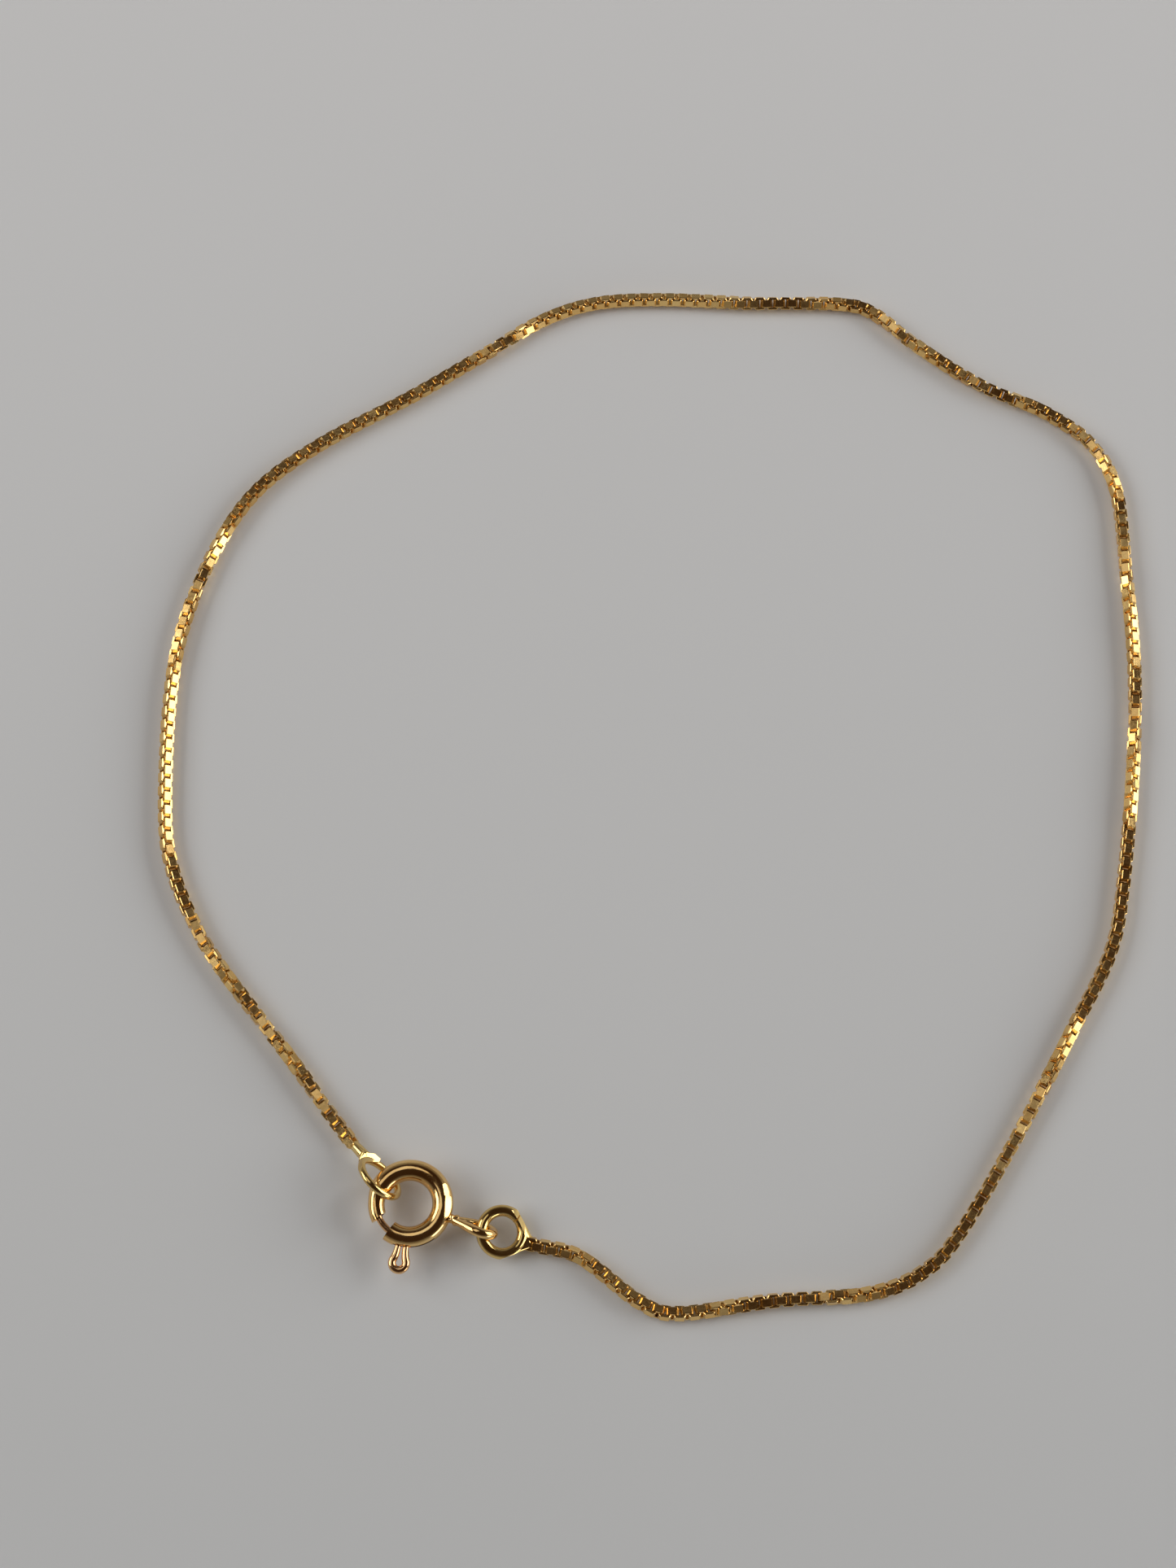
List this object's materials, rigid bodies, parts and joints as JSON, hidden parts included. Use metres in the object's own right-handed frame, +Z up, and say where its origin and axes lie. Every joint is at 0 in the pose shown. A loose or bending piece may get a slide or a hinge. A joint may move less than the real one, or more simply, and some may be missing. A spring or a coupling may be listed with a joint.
{
  "type": "chain anklet",
  "caption": "Box chain anklet fastened by a spring ring clasp, lying as a closed loop on a flat surface.",
  "frame": {"origin": "on the surface that the anklet lies on, under the middle of the loop", "axes": "+Z up from the surface, +Y along the loop's longer side and away from the clasp"},
  "size_m": [0.0719, 0.0788, 0.0034],
  "materials": {
    "gold": "polished yellow gold alloy",
    "rose_gold": "polished, slightly redder gold alloy",
    "solder_gold": "polished, slightly greener gold alloy with filed solder"
  },
  "bodies": {
    "anklet": {"box_chain": "gold", "catch_ring": "solder_gold", "clasp_body": "gold", "jump_ring": "solder_gold"},
    "bolt": {"clasp_bolt": "rose_gold"}
  },
  "joints": [
    {"name": "bolt_draw", "type": "hinge", "parent": "anklet", "child": "bolt", "pos_m": [-0.01305, -0.03382, 0.00153], "axis": [0, 0, 1], "range_deg": [0, 33], "stiffness_Nm_per_rad": 0.001}
  ]
}
